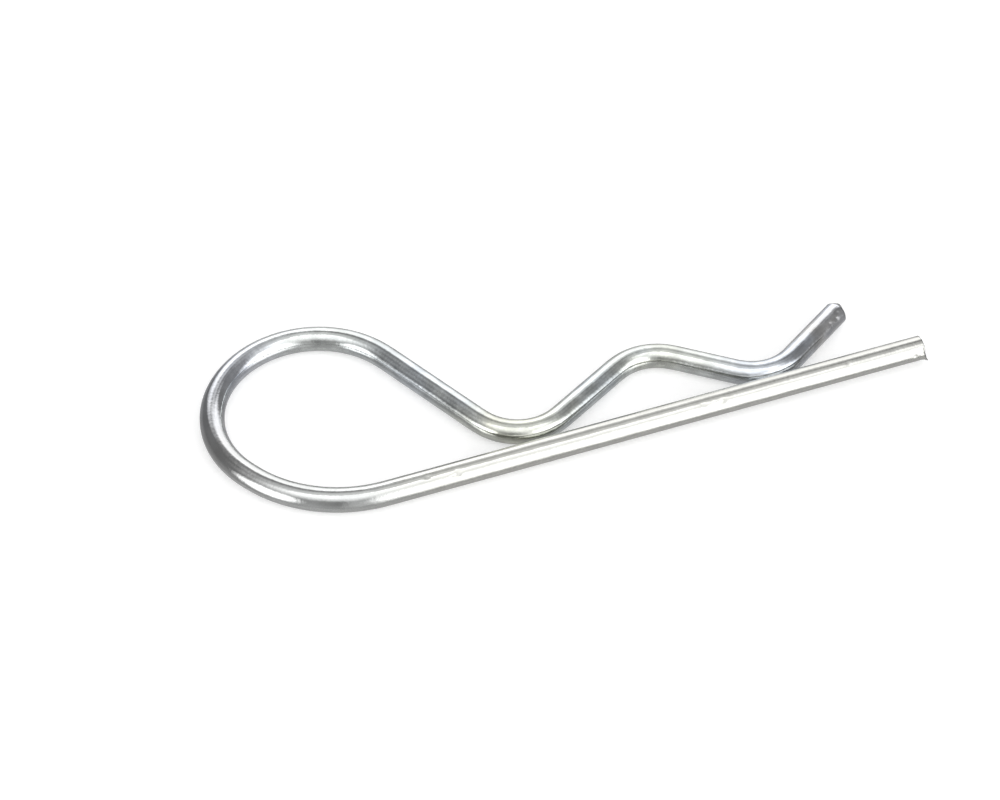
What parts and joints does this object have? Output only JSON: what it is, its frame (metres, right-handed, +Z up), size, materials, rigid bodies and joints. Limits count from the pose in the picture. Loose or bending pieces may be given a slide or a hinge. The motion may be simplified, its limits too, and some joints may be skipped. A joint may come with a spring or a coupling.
{
  "type": "hitch r clip pin",
  "caption": "R-shaped clip bent from round spring wire: a straight leg for a shaft's cross hole and a sprung arm whose crown grips the shaft, with a round loop at the back.",
  "frame": {"origin": "the middle of the clip's outline seen from above, on the surface that it lies on", "axes": "+X along the straight leg towards its tip; +Y from the leg towards the arm's side; +Z up, square to the clip's plane"},
  "size_m": [0.0668, 0.0232, 0.0028],
  "materials": {
    "zinc_wire": "bright zinc plating on drawn spring wire, smooth, with fine lengthwise drawing lines and small nicks"
  },
  "bodies": {
    "root": {"clip": "zinc_wire"}
  },
  "joints": []
}
